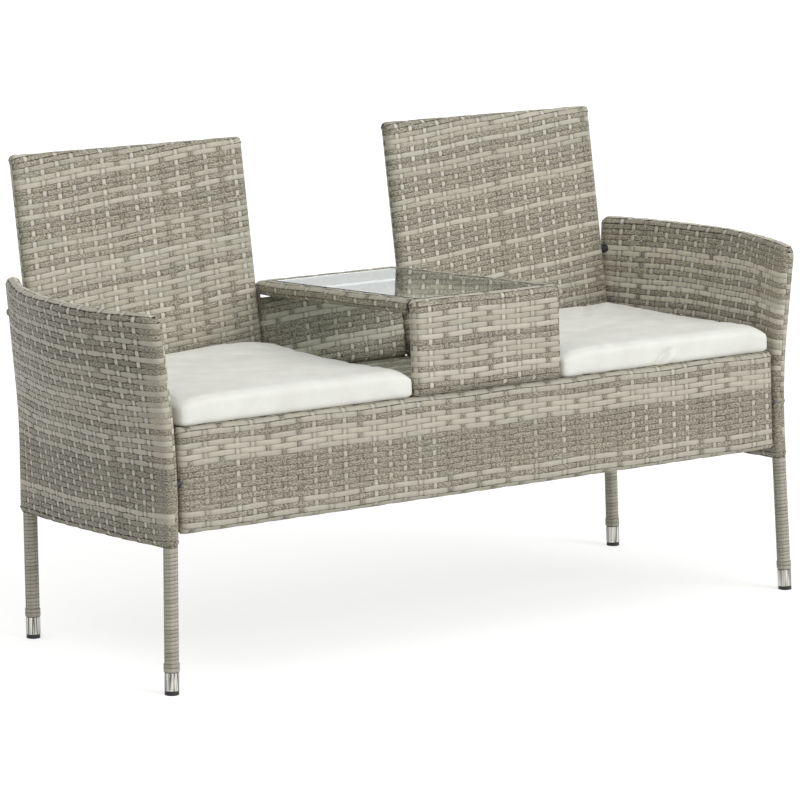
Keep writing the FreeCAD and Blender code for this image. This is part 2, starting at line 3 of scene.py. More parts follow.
import bpy
import numpy as np
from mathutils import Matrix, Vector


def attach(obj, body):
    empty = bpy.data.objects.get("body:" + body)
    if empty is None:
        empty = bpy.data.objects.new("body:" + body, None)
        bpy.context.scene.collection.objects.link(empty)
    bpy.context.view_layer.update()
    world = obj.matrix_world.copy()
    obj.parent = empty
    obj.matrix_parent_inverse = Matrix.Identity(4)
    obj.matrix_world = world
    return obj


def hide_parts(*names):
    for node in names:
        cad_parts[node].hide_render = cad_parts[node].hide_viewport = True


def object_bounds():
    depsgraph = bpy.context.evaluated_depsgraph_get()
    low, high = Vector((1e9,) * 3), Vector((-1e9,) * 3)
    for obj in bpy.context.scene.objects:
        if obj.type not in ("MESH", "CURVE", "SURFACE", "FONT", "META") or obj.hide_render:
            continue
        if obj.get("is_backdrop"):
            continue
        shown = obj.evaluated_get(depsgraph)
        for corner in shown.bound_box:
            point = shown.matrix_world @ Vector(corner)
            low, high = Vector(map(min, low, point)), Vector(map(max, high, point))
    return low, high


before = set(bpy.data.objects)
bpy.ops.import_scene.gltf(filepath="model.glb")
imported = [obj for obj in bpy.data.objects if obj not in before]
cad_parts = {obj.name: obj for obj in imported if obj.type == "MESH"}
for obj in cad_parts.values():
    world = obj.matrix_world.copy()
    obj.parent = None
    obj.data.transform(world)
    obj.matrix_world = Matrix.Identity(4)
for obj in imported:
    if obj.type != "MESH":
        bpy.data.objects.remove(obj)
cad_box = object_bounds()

# A two-seat woven garden bench with a glass-topped table between the seats. Lengths are metres.
# X runs along the bench, the front faces -Y, +Z is up.

# Woven seat apron
# The long panel below the seat: flat extruded polyethylene strips woven by hand over a painted
# steel tube frame, long rows over and under thin uprights, each end wrapped round the tube.
wrap_r = 0.0127
strip_t = 0.0011
upright_wide = 0.0080
row_lift = 0.00062
upright_lift = 0.0005
row_lap = 0.0003
row_wander = 0.001
sheet_inset = 0.0036
sheet_set = 0.0002
wrap_turn = math.radians(238)
under_strips = wrap_r - row_lift - strip_t / 2
plain_strip = "#BBB6A5"
pale_strip = "#D3D0C3"
mottle_dark = "#6C6756"
mottle_light = "#B3AE9C"
random = np.random.default_rng(7)


def linear(colour):
    """An sRGB hex colour as linear red, green, blue and alpha.

    Each channel has the sRGB curve undone: a straight part near black and a power of 2.4 above it.
    """
    part = np.array([int(colour[k:k + 2], 16) for k in (1, 3, 5)]) / 255
    undone = np.where(part <= 0.04045, part / 12.92, ((part + 0.055) / 1.055) ** 2.4)
    return (*[float(x) for x in undone], 1.0)


def add_node(tree, kind, settings=None, links=None):
    """One shader node with its settings, which are properties or input values, and its links."""
    node = tree.nodes.new("ShaderNode" + kind)
    for key, value in (settings or {}).items():
        if isinstance(key, str) and hasattr(node, key):
            setattr(node, key, value)
        else:
            node.inputs[key].default_value = value
    for key, source in (links or {}).items():
        tree.links.new(source, node.inputs[key])
    return node


def new_material(name, settings):
    """A material with one Principled shader, its tree and that shader."""
    material = bpy.data.materials.new(name)
    material.use_nodes = True
    tree = material.node_tree
    tree.nodes.clear()
    shader = add_node(tree, "BsdfPrincipled", settings)
    add_node(tree, "OutputMaterial", links={"Surface": shader.outputs[0]})
    return material, tree, shader


def strip_material():
    """Extruded polyethylene strip: satin, mottled on some strips, with a fine drawn grain.

    The mottle is noise about 4 mm long and 2 mm across. A cloud 33 mm long and 11 mm across makes
    a strip drift in brightness. The grain is 30 mm long and 0.7 mm across: it is 0.2 mm on the
    real strip and drawn coarser so that it shows. Painted shade darkens the strip where its edges
    roll down and where it dives under another.
    """
    material, tree, shader = new_material("woven polyethylene strip", {"Roughness": 0.55, "IOR": 1.5})
    place = add_node(tree, "UVMap", {"uv_map": "strip"})
    look = add_node(tree, "Attribute", {"attribute_name": "strip_look"})
    parts = add_node(tree, "SeparateColor", links={0: look.outputs["Color"]})
    spread = add_node(tree, "Mapping", {"Scale": (240, 500, 1)}, {0: place.outputs[0]})
    mottle = add_node(tree, "TexNoise", {"Scale": 1.0, "Detail": 3.0, "Roughness": 0.62},
                      {"Vector": spread.outputs[0]})
    steps = add_node(tree, "ValToRGB", links={0: mottle.outputs[0]})
    steps.color_ramp.elements[0].position = 0.42
    steps.color_ramp.elements[0].color = linear(mottle_dark)
    steps.color_ramp.elements[1].position = 0.58
    steps.color_ramp.elements[1].color = linear(mottle_light)
    cloud = add_node(tree, "Mapping", {"Scale": (30, 90, 1)}, {0: place.outputs[0]})
    drift = add_node(tree, "TexNoise", {"Scale": 1.0, "Detail": 2.0}, {"Vector": cloud.outputs[0]})
    plain = add_node(tree, "Mix", {"data_type": "RGBA", 6: linear(plain_strip), 7: linear(pale_strip)},
                     {0: parts.outputs[2]})
    mixed = add_node(tree, "Mix", {"data_type": "RGBA"},
                     {0: parts.outputs[0], 6: plain.outputs[2], 7: steps.outputs[0]})
    level = add_node(tree, "Math", {"operation": "MULTIPLY_ADD", 1: 0.34, 2: 0.83}, {0: drift.outputs[0]})
    # The brightness carried by the look is partly painted light: panels are drawn lighter or darker for
    # how the light falls on them.
    shade = add_node(tree, "Math", {"operation": "MULTIPLY"}, {0: level.outputs[0], 1: parts.outputs[1]})
    # Painted shade: the look's fourth value darkens the colour at the strip's rolled edges and where it
    # dives under another.
    rolled = add_node(tree, "Math", {"operation": "MULTIPLY_ADD", 1: -0.62, 2: 1.0},
                      {0: look.outputs["Alpha"]})
    dark = add_node(tree, "Math", {"operation": "MULTIPLY"}, {0: shade.outputs[0], 1: rolled.outputs[0]})
    toned = add_node(tree, "VectorMath", {"operation": "SCALE"},
                     {0: mixed.outputs[2], "Scale": dark.outputs[0]})
    tree.links.new(toned.outputs[0], shader.inputs["Base Color"])
    drawn = add_node(tree, "Mapping", {"Scale": (33, 1400, 1)}, {0: place.outputs[0]})
    grain = add_node(tree, "TexNoise", {"Scale": 1.0, "Detail": 2.0}, {"Vector": drawn.outputs[0]})
    relief = add_node(tree, "Bump", {"Strength": 0.35, "Distance": 0.0003}, {"Height": grain.outputs[0]})
    tree.links.new(relief.outputs[0], shader.inputs["Normal"])
    return material


wicker = strip_material()


def unit(vectors):
    """Each vector divided by its own length."""
    return vectors / np.maximum(np.linalg.norm(vectors, axis=-1, keepdims=True), 1e-12)


def wrapped(base, half, wrap=wrap_turn, rounds=(0.0, 0.0)):
    """A woven sheet on a tube frame, as a surface of two arc lengths from the sheet's middle.

    base gives the tubes' centre surface and its outward normal. Past a tube's centre line the
    sheet bends round the tube: the excess lengths in s and t are joined by a power mean into one
    arc, that arc over the tube's radius is the turn, and the point stands at the turn's cosine in
    depth and its sine outward. The power is 2 at a rounded corner and 6 at a plain one. What would
    turn further than wrap is outside and stays at wrap. The normal points from the tube's centre
    line, or from the centre surface, to the point. rounds are the radii of the upper corners
    before and behind the middle.
    """
    radius = under_strips

    def surface(s, t):
        """A point of the sheet, its outward normal, and whether it is inside."""
        corner = np.where(t > 0, np.where(s > 0, rounds[1], rounds[0]), 0.0)
        over_s = np.maximum(np.abs(s) - half[0] + corner, 0)
        over_t = np.maximum(np.abs(t) - half[1] + corner, 0)
        power = np.where(corner > 0, 2.0, 6.0)
        arc = np.maximum((over_s ** power + over_t ** power) ** (1 / power), 1e-9)
        inside = arc - corner < wrap * radius
        turn = np.clip((arc - corner) / radius, 0, wrap)
        core_s = np.minimum(np.abs(s), half[0] - corner)
        core_t = np.minimum(np.abs(t), half[1] - corner)

        def at(share):
            """The centre surface at a share of the excess lengths."""
            return base(np.sign(s) * (core_s + over_s * share), np.sign(t) * (core_t + over_t * share))

        centre = at(np.minimum(arc, corner) / arc)[0]
        point, outward = at(np.where(turn > 0, corner + radius * np.sin(turn), arc) / arc)
        point = point + outward * (radius * np.cos(turn))[..., None]
        return point, unit(point - centre), inside

    past = radius * wrap
    return surface, (half[0] + past, half[1] + past)


def strip_grid(surface, s, t, lift, wide, look, painted_dive_shade, line):
    """Many flat strips along lines of (s, t) on a surface: vertices, faces, UVs and looks.

    The surface gives each point and its normal. Each strip carries a six-sided section, flat
    above and below with rolled edges. A strip runs on to the first station outside the surface,
    which lies on its limit, and its ends are closed. The UV is the length along and the place
    across. The look's fourth value is painted shade: line sets it at the edges, and another share
    along the middle where the strip dives.
    """
    point, outward, kept = surface(s, t)
    centre = point + outward * np.broadcast_to(lift, s.shape)[..., None]
    along = unit(np.gradient(centre, axis=1))
    across = np.cross(outward, along)
    side = np.array([-0.8, -1.0, -0.8, 0.8, 1.0, 0.8])
    rise = np.array([-0.5, -0.05, 0.5, 0.5, -0.05, -0.5])
    # Painted shade at the strip's edges, strongest at the outer points of the section.
    edge = np.broadcast_to(line, s.shape)[..., None] * np.array([0.25, 1.0, 0.1, 0.1, 1.0, 0.25])
    width = np.broadcast_to(np.asarray(wide, float), s.shape)[..., None, None] / 2
    points = (centre[:, :, None] + across[:, :, None] * width * side[:, None]
              + outward[:, :, None] * strip_t * rise[:, None])
    gap = np.linalg.norm(np.diff(centre, axis=1), axis=2)
    run = np.concatenate([np.zeros((len(s), 1)), np.cumsum(gap, axis=1)], axis=1)
    number = random.uniform(0, 50, (len(s), 1, 1))
    u = np.broadcast_to(run[..., None] + number, points.shape[:3])
    v = side * width[..., 0] + 0.37 * number
    index = np.arange(u.size).reshape(u.shape)
    kept = (kept[:, 1:] | kept[:, :-1]) & (gap > 1e-5)
    ahead = np.roll(index, -1, axis=2)
    sides = np.stack([index[:, :-1], index[:, 1:], ahead[:, 1:], ahead[:, :-1]], axis=-1)
    sides = sides[kept].reshape(-1, 4)
    blank = np.zeros((len(s), 1), bool)
    starts = np.concatenate([kept & ~np.concatenate([blank, kept[:, :-1]], axis=1), blank], axis=1)
    ends = np.concatenate([blank, kept & ~np.concatenate([kept[:, 1:], blank], axis=1)], axis=1)
    caps = [index[starts][:, [0, 1, 4, 5]], index[starts][:, [1, 2, 3, 4]],
            index[ends][:, [5, 4, 1, 0]], index[ends][:, [4, 3, 2, 1]]]
    faces = np.concatenate([sides] + caps)[:, ::-1]
    looks = np.empty(points.shape[:3] + (4,))
    looks[..., :3] = look[:, None, None]
    # The fourth value is painted shade, from the edges and from where the strip dives.
    looks[..., 3] = 1 - (1 - edge) * (1 - np.broadcast_to(painted_dive_shade, s.shape)[..., None])
    return points.reshape(-1, 3), faces, np.stack([u, v], -1).reshape(-1, 2), looks.reshape(-1, 4)


def weave(sheet, row_pitch, upright_pitch, slope, row_looks, upright_looks,
          stops=(-8.5, -5.2, -2.6, 0, 2.6, 5.2, 8.5), fine=4, line=1.0, pinch=0.06, last=99):
    """Plain weave over a surface: rows along s that pass over one upright and under the next.

    A row's height falls by a bell curve at each upright that crosses over it, and an upright's
    height follows a clipped cosine of the row number. Rows rise by slope times s and by a slow
    sine of 1 mm. Hand work leaves each upright a little off its place. A wider bell narrows a row
    by pinch where it dives. Painted shade darkens the row's edges, most at the corners beside each
    upright, and its middle where it dives, and darkens an upright where it passes under a row.
    stops are a row's stations round each upright, in millimetres, and fine is the number of an
    upright's stations per row. Uprights beyond number last, counted from the middle, are left out.
    """
    dip_wide, dip_deep = 0.65 * upright_wide, 2.1
    corner_at, corner_wide = 0.68, 0.3
    surface, reach = sheet
    cells = math.ceil(reach[0] / upright_pitch) + 1
    cell = np.append(np.array(stops) / 1000, upright_pitch / 2)
    s_line = (np.arange(-cells, cells + 1)[:, None] * upright_pitch + cell).ravel()
    rows = math.ceil((reach[1] + abs(slope) * reach[0]) / row_pitch)
    row = np.arange(-rows, rows + 1)
    s = np.broadcast_to(s_line, (len(row), len(s_line)))
    wander = row_wander * np.sin(30 * s + 0.3 * row[:, None] + random.uniform(0, 6))
    t = (row * row_pitch)[:, None] + slope * s + wander
    last = min(last, cells)
    number = np.arange(-last, last + 1)
    off = random.normal(0, 0.02 * upright_pitch, len(number))
    crossing = np.clip(np.round(s / upright_pitch), -last, last).astype(int)
    under = (row[:, None] + crossing) % 2 == 1
    beside = s - crossing * upright_pitch - off[crossing + last]
    dip = np.where(under, np.exp(-(beside / dip_wide) ** 2), 0)
    lift = row_lift * (1 - dip_deep * dip)
    waist = np.where(under, np.exp(-(beside / upright_wide) ** 2), 0)
    wide = (row_pitch + row_lap) * (1 - pinch * waist)
    corner = np.exp(-((np.abs(beside) / upright_wide - corner_at) / corner_wide) ** 2)
    # Painted shade at the row's edges, strongest at the corners beside each upright.
    dark = line * (0.4 + 0.6 * corner)
    # Painted shade along the row's middle where it dives under an upright.
    painted_dive_shade = 0.75 * np.minimum(1.6 * dip, 1)
    parts = [strip_grid(surface, s, t, lift, wide, row_looks(row), painted_dive_shade, dark)]
    most = math.ceil((reach[1] + abs(slope) * reach[0]) * fine / row_pitch)
    t_line = np.arange(-most, most + 1) * row_pitch / fine
    t = np.broadcast_to(t_line, (len(number), len(t_line)))
    s = np.broadcast_to((number * upright_pitch + off)[:, None], t.shape)
    beat = np.cos(math.pi * ((t - slope * s) / row_pitch + number[:, None]))
    lift = -upright_lift * np.clip(1.7 * beat, -1, 1)
    # Painted shade on the upright where it passes under a row.
    painted_dive_shade = np.clip(0.3 + beat, 0, 1)
    parts.append(strip_grid(surface, s, t, lift, upright_wide, upright_looks(number), painted_dive_shade, 0.6 * line))
    return parts


def bands(order, top=0, uneven=0.05, tone_and_painted_light=1.0, apart=0.0):
    """Looks of the rows, read down from row number top: p is plain, m is mottled and h is between.

    A plain strip still has up to 0.3 of the mottle. uneven is the spread of brightness from row to
    row, and apart makes plain rows brighter and mottled ones darker. tone is the whole panel's
    brightness and is partly painted light: a panel is drawn lighter or darker for how the light
    falls on it.
    """
    mottled = np.array(["phm".index(letter) / 2 for letter in order])

    def looks(row):
        """Each row's share of mottle, its brightness and its paleness."""
        kind = mottled[(top - row) % len(order)]
        # The panel's brightness is partly painted light.
        bright = tone_and_painted_light + apart * (1 - 2 * kind) + uneven * random.standard_normal(len(row))
        kind = np.maximum(kind, random.uniform(0, 0.3, len(row)))
        return np.column_stack([kind, bright, random.uniform(0, 0.35, len(row))])

    return looks


def uprights(mottled_share, pale):
    """Looks of the uprights: a share of them is mottled, and the others are plain to pale."""

    def looks(number):
        """Each upright's share of mottle, its brightness and its paleness."""
        mottled = (random.random(len(number)) < mottled_share).astype(float)
        bright = 1 + 0.05 * random.standard_normal(len(number))
        return np.column_stack([mottled, bright, random.uniform(pale - 0.3, pale + 0.3, len(number))])

    return looks


def woven_piece(name, parts, body, *nodes, mirror=False):
    """One mesh object from several grids of quads, riding on a body and standing for CAD nodes.

    Points that no face uses are dropped. mirror changes the sign of X and turns the faces over.
    """
    offsets = np.cumsum([0] + [len(part[0]) for part in parts])
    points = np.concatenate([part[0] for part in parts])
    faces = np.concatenate([part[1] + offset for part, offset in zip(parts, offsets)])
    uv = np.concatenate([part[2] for part in parts])
    look = np.concatenate([part[3] for part in parts])
    used, faces = np.unique(faces, return_inverse=True)
    faces = faces.reshape(-1, 4)
    points, uv, look = points[used], uv[used], look[used]
    if mirror:
        points = points * (-1, 1, 1)
        faces = faces[:, ::-1]
    mesh = bpy.data.meshes.new(name)
    mesh.vertices.add(len(points))
    mesh.vertices.foreach_set("co", points.astype(np.float32).ravel())
    mesh.loops.add(faces.size)
    mesh.loops.foreach_set("vertex_index", faces.astype(np.int32).ravel())
    mesh.polygons.add(len(faces))
    mesh.polygons.foreach_set("loop_start", np.arange(0, faces.size, 4, dtype=np.int32))
    mesh.polygons.foreach_set("use_smooth", np.ones(len(faces), bool))
    layer = mesh.uv_layers.new(name="strip")
    layer.data.foreach_set("uv", uv[faces.ravel()].astype(np.float32).ravel())
    attribute = mesh.attributes.new("strip_look", "FLOAT_COLOR", "POINT")
    attribute.data.foreach_set("color", look.astype(np.float32).ravel())
    mesh.update(calc_edges=True)
    mesh.materials.append(wicker)
    piece = bpy.data.objects.new(name, mesh)
    bpy.context.scene.collection.objects.link(piece)
    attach(piece, body)
    if nodes:
        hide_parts(*nodes)
    return piece


def flat_panel(node, wider=0.0, taller=0.0):
    """A flat panel's woven surface, from its CAD sheet, wider at each side and taller at the top.

    The sheet's front corners reach furthest in X. Their mean is the middle, the line from the low
    pair to the high pair is the panel's up, and the tube's centre plane lies behind them.
    """
    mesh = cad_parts[node].data
    corners = np.zeros(len(mesh.vertices) * 3, np.float32)
    mesh.vertices.foreach_get("co", corners)
    corners = corners.reshape(-1, 3).astype(float)
    middle_x = (corners[:, 0].max() + corners[:, 0].min()) / 2
    off = np.abs(corners[:, 0] - middle_x)
    front = corners[off > off.max() - 0.001]
    rank = front @ (0, 1, 1)
    low = front[rank < rank.mean()].mean(0)
    high = front[rank > rank.mean()].mean(0)
    up = unit(high - low)
    right = np.array([1.0, 0.0, 0.0])
    outward = np.cross(right, up)
    middle = (low + high) / 2 - outward * (wrap_r - sheet_set)
    middle[0] = middle_x
    middle = middle + up * taller / 2
    half = (off.max() + sheet_inset + wider, (np.linalg.norm(high - low) + taller) / 2 + sheet_inset)

    def base(x, y):
        """A point of the centre plane, x along the panel and y up it, and the plane's normal."""
        point = middle + x[..., None] * right + y[..., None] * up
        return point, np.broadcast_to(outward, point.shape)

    return wrapped(base, half)


woven_piece("apron_wickerwork",
            weave(flat_panel("seat_apron_weave", wider=0.0035),
                  row_pitch=0.00915, upright_pitch=0.0300, slope=0.0,
                  row_looks=bands("ppmppppmmmmmmmmpmp", top=9, tone_and_painted_light=1.02),
                  upright_looks=uprights(mottled_share=0.5, pale=0.2)),
            "bench", "seat_apron_weave", "seat_apron_edge")

# Woven seat deck
# The flat panel that the cushions lie on, woven like the apron on its own tube frame and bolted
# behind it. Only a strip of it shows round the cushions and through the glass.
woven_piece("deck_wickerwork",
            weave(flat_panel("seat_deck_weave"),
                  row_pitch=0.0100, upright_pitch=0.0300, slope=0.0,
                  row_looks=bands("ppmmmm", top=4),
                  upright_looks=uprights(mottled_share=0.4, pale=0.4),
                  stops=(-7, -2.5, 2.5, 7), fine=2),
            "bench", "seat_deck_weave", "seat_deck_edge")

# Woven backs
# Two leaning panels with a lower one between them behind the table, each woven on its own tube
# frame. The weaver's rows climb to the right while the uprights stand plumb. The strips lie
# slack over the top tubes, so the weave stands 6 to 10 mm higher than them.
# The three backs' strips are drawn a little brighter than the apron's: painted light.
woven_piece("left_back_wickerwork",
            weave(flat_panel("left_back_weave", wider=0.003, taller=0.006),
                  row_pitch=0.0090, upright_pitch=0.0294, slope=0.090,
                  row_looks=bands("mhpmmmhmpmmmmhpmhmhphphmhphhpmpmhhhmhpmhmmpmmh",
                                  top=21, tone_and_painted_light=1.05, apart=-0.02),
                  upright_looks=uprights(mottled_share=0.2, pale=0.6)),
            "bench", "left_back_weave", "left_back_edge")
woven_piece("right_back_wickerwork",
            weave(flat_panel("right_back_weave", wider=0.003, taller=0.010),
                  row_pitch=0.0091, upright_pitch=0.0298, slope=0.090,
                  row_looks=bands("hphmpmmphmmmmphmmmmpmmmmmpmmmmmpmmpmpmmpmmmmmm",
                                  top=22, tone_and_painted_light=1.06, apart=-0.02),
                  upright_looks=uprights(mottled_share=0.2, pale=0.6)),
            "bench", "right_back_weave", "right_back_edge")
woven_piece("centre_back_wickerwork",
            weave(flat_panel("centre_back_weave", wider=0.0035, taller=0.009),
                  row_pitch=0.0098, upright_pitch=0.0300, slope=0.055,
                  row_looks=bands("mppmmm", top=5, tone_and_painted_light=1.04),
                  upright_looks=uprights(mottled_share=0.3, pale=0.6)),
            "bench", "centre_back_weave", "centre_back_edge")

# Woven table front
# A small upright panel between the seats, woven like the apron on its own tube frame, which
# stands on the apron.
# Its strips are drawn a little brighter than the apron's: painted light.
woven_piece("table_front_wickerwork",
            weave(flat_panel("table_front_weave"),
                  row_pitch=0.0091, upright_pitch=0.0304, slope=0.0,
                  row_looks=bands("mmpppppmmpppmppmmp", top=8, tone_and_painted_light=1.06),
                  upright_looks=uprights(mottled_share=0.5, pale=0.4)),
            "bench", "table_front_weave", "table_front_edge")

# Wound table rim
# The U-shaped tube that the glass lies inside, covered by eight strips along the tube and rings
# of strip woven over and under them.
rim_half_x = 0.1393
rim_front_y = -0.2014
rim_rear_y = 0.2373
rim_z = 0.5744
seat_pivot = np.array([0.0, -0.227, 0.4266])
seat_turn = math.radians(-3.05)
plan_shift = np.array([0.0, -0.0288246, 0.0])


def tilted(points):
    """Points of the level seat, turned about its front edge by its tilt and moved to the model's place."""
    y, z = points[..., 1] - seat_pivot[1], points[..., 2] - seat_pivot[2]
    cosine, sine = math.cos(seat_turn), math.sin(seat_turn)
    back = y * cosine - z * sine + seat_pivot[1]
    high = y * sine + z * cosine + seat_pivot[2]
    return np.stack([points[..., 0], back, high], -1) + plan_shift


def rim_surface(s, t):
    """The rim's skin: s along the U from the middle of its rear, t round the tube from its top.

    The angle is t over the radius. The U is drawn at its half width plus the radius times the sine,
    with mitred corners, and the height is the radius times the cosine.
    """
    radius = under_strips
    side_run = rim_rear_y - rim_front_y
    inside = (np.abs(s) < rim_half_x + side_run) & (np.abs(t) < math.pi * radius)
    angle = np.clip(t / radius, -math.pi, math.pi)
    sine = np.sin(angle)
    out = radius * sine
    rear = np.minimum(np.abs(s), rim_half_x) / rim_half_x
    side = np.clip(np.abs(s) - rim_half_x, 0, side_run) / side_run
    x = np.sign(s) * rear * (rim_half_x + out)
    y = rim_rear_y + out - side * (side_run + out)
    to_side = np.where(rear < 1, 0, np.sign(s) * sine)
    to_rear = np.where(rear < 1, sine, 0)
    spoke = np.stack([to_side, to_rear, np.cos(angle)], -1)
    point = np.stack([x, y, rim_z + radius * np.cos(angle)], -1)
    return tilted(point), tilted(point + spoke) - tilted(point), inside


rim_round = 2 * math.pi * under_strips
woven_piece("table_rim_wickerwork",
            weave((rim_surface, (rim_half_x + rim_rear_y - rim_front_y, rim_round / 2)),
                  row_pitch=rim_round / 8, upright_pitch=0.0290, slope=0.0,
                  row_looks=bands("pmmp"),
                  upright_looks=uprights(mottled_share=0.2, pale=0.8),
                  stops=(-8.5, -5, 0, 5, 8.5)),
            "bench", "table_rim_winding")

# Woven arms
# Each arm is a barrel-shaped panel woven round the bent tube of the side frame. One strand goes
# round both posts, so the panel has an outer and an inner layer, each flush with the tubes.
front_post = np.array([[0.644, -0.238, 0.0], [0.631, -0.218, 0.375], [0.657, -0.213, 0.598]]) + plan_shift
rear_post = np.array([[0.624, 0.224, 0.0], [0.619, 0.240, 0.375], [0.637, 0.249, 0.598]]) + plan_shift
waist_bend = 1.2
low_rail_front_z = 0.246
low_rail_rear_z = 0.224
arm_z = 0.598
bow_low = 0.008
bow_high = 0.0556
arm_half = (0.2345, 0.1815)
post_span = 0.462


def post_at(post, z):
    """A post's centre at a height: two straight runs, joined by a parabola in place of the bend's arc.

    The parabola starts and ends where the arc does, and bends by one over the arc's radius.
    """
    low = (post[1] - post[0]) / (post[1, 2] - post[0, 2])
    high = (post[2] - post[1]) / (post[2, 2] - post[1, 2])
    change = high - low
    tangent = waist_bend * math.tan(np.linalg.norm(change) / 2)
    rise = (z - post[1, 2])[..., None]
    run = post[1] + rise * np.where(rise < 0, low, high)
    return run + unit(change) * np.maximum(tangent - np.abs(rise), 0) ** 2 / (2 * waist_bend)


def arm_base(x, y):
    """The centre surface of an arm's tubes and its normal, the cross product of two small steps.

    The share is the place from front post to rear post and the height that from low rail to arm
    rail. A point is the mean of the posts by its share, moved out by a parabola of the share whose
    depth grows with the height.
    """

    def place(x, y):
        """A point of the centre surface."""
        share = (x + arm_half[0]) / post_span
        height = 0.5 + y / (2 * arm_half[1])
        low = low_rail_front_z + (low_rail_rear_z - low_rail_front_z) * share
        z = low + (arm_z - low) * height
        front, rear = post_at(front_post, z), post_at(rear_post, z)
        point = front + (rear - front) * share[..., None]
        point[..., 0] += (bow_low + (bow_high - bow_low) * height) * (1 - (2 * share - 1) ** 2)
        return point

    point = place(x, y)
    return point, unit(np.cross(place(x + 0.0005, y) - point, place(x, y + 0.0005) - point))


def arm_inside(x, y):
    """The same surface looked at from the seat: x and the normal are turned round."""
    point, outward = arm_base(-x, y)
    return point, -outward


quarter = math.pi / 2
front_round = 0.010
rear_round = 0.004
arm_row = 0.00933
arm_upright = 0.0230
last_upright = 9
# Painted shade at the strips' edges, stronger on the arms than on the flat panels.
arm_edge_shade = 1.6
outer_parts = weave(wrapped(arm_base, arm_half, quarter, (front_round, rear_round)),
                    row_pitch=arm_row, upright_pitch=arm_upright, slope=0.0,
                    row_looks=bands("pmhmmpmmpmmphmpmhphhpmhphpmpmmmmmmmmphmmmmmm",
                                    top=21, uneven=0.06, tone_and_painted_light=1.03, apart=0.06),
                    upright_looks=uprights(mottled_share=0.1, pale=0.8),
                    line=arm_edge_shade, pinch=0.45, last=last_upright)
# The inner layer is drawn far brighter than the outer one: painted light on the side that faces the seat.
inner_parts = weave(wrapped(arm_inside, arm_half, quarter, (rear_round, front_round)),
                    row_pitch=arm_row, upright_pitch=arm_upright, slope=0.0,
                    row_looks=bands("pmmmmmppmhmhppmpmhmphpmmpmmmmmmmmmmmmmmmmmmm",
                                    top=21, uneven=0.06, tone_and_painted_light=1.22, apart=0.1),
                    upright_looks=uprights(mottled_share=0.1, pale=0.8),
                    line=arm_edge_shade, pinch=0.12, last=last_upright)
for side in ("right", "left"):
    woven_piece(side + "_arm_wickerwork", outer_parts, "bench",
                side + "_arm_weave", side + "_arm_winding", side + "_rail_winding", mirror=side == "left")
    woven_piece(side + "_arm_inner_wickerwork", inner_parts, "bench", mirror=side == "left")

# Wound legs
# Below the arm each post is wound with a narrow strip, turn against turn, and the winding ends in
# a doubled collar. Here and there a dark line of painted shade is drawn between two turns, as if
# they stood apart, and fine lines of painted shade run down the turns.
leg_low_z = 0.0373
leg_turn = 0.0061
leg_gap = 0.0001
leg_lift = -0.0002
collar_tall = 0.013
collar_lift = 0.0009
painted_gap_share = 0.12
stations = 33


def leg_winding(post, top_z):
    """Turns round a leg: s round it over the radius is the angle, and t is the height.

    A turn climbs by one pitch as it goes round, so that the turns join as a helix. Two level
    turns lie over the lowest ones as the collar.
    """
    radius = under_strips
    half_round = math.pi * radius

    def surface(s, t):
        """A point of the winding, its outward normal, and whether it is inside."""
        angle = s / radius
        spoke = np.stack([np.cos(angle), np.sin(angle), np.zeros(angle.shape)], -1)
        centre = post_at(post, np.clip(t, leg_low_z + 0.002, top_z))
        return centre + spoke * radius, spoke, (t > leg_low_z - leg_turn) & (t < top_z + leg_turn)

    turns = math.ceil((top_z - leg_low_z) / leg_turn) + 1
    s = np.broadcast_to(np.linspace(-half_round, half_round, stations), (turns, stations))
    t = leg_low_z + (np.arange(turns)[:, None] + s / (2 * half_round)) * leg_turn
    looks = bands("p", uneven=0.03, tone_and_painted_light=0.9)(np.arange(turns))
    # Painted shade at the turns' edges: dark on the few turns drawn as standing apart, faint on the
    # others.
    line = np.where(random.random((turns, 1)) < painted_gap_share, 1.0, 0.18)
    # Painted shade in faint lines down the winding, at every fourth station round the leg.
    rib_shade = 0.22 * (np.arange(stations) % 4 == 0)
    parts = [strip_grid(surface, s, t, leg_lift, leg_turn - leg_gap, looks, rib_shade, line)]
    rise = np.array([0.25, 0.75])[:, None] * collar_tall
    t = leg_low_z + rise + s[:2] * 0
    # The collar's edges also get painted shade.
    parts.append(strip_grid(surface, s[:2], t, collar_lift, collar_tall / 2, looks[:2], rib_shade, 0.7))
    return parts


for post, top_z, place in ((front_post, 0.2335, "front"), (rear_post, 0.2115, "rear")):
    for side, sign in (("right", 1), ("left", -1)):
        leg = side + "_" + place + "_leg"
        woven_piece(leg + "_wickerwork", leg_winding(post * (sign, 1, 1), top_z), "bench",
                    leg + "_winding")


# Painted steel frames
# Bent and welded round tube of 20 mm, powder coated in a dull taupe before the weaving, with the
# ledge and brackets of bent strip.
def finish(material, words):
    """Puts a material on every CAD node whose name holds one of these words."""
    for name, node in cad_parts.items():
        if any(word in name for word in words):
            for slot in node.material_slots:
                slot.material = material


def coated_steel():
    """Powder-coated steel: satin, with the fine orange peel of baked powder, about 1.5 mm across."""
    material, tree, shader = new_material("powder-coated steel", {"Roughness": 0.45, "IOR": 1.5})
    place = add_node(tree, "TexCoord")
    peel = add_node(tree, "TexNoise", {"Scale": 650.0, "Detail": 2.0}, {"Vector": place.outputs["Object"]})
    tint = add_node(tree, "ValToRGB", links={0: peel.outputs[0]})
    tint.color_ramp.elements[0].color = linear("#6F6A5F")
    tint.color_ramp.elements[1].color = linear("#857F72")
    tree.links.new(tint.outputs[0], shader.inputs["Base Color"])
    relief = add_node(tree, "Bump", {"Strength": 0.3, "Distance": 0.0002}, {"Height": peel.outputs[0]})
    tree.links.new(relief.outputs[0], shader.inputs["Normal"])
    return material


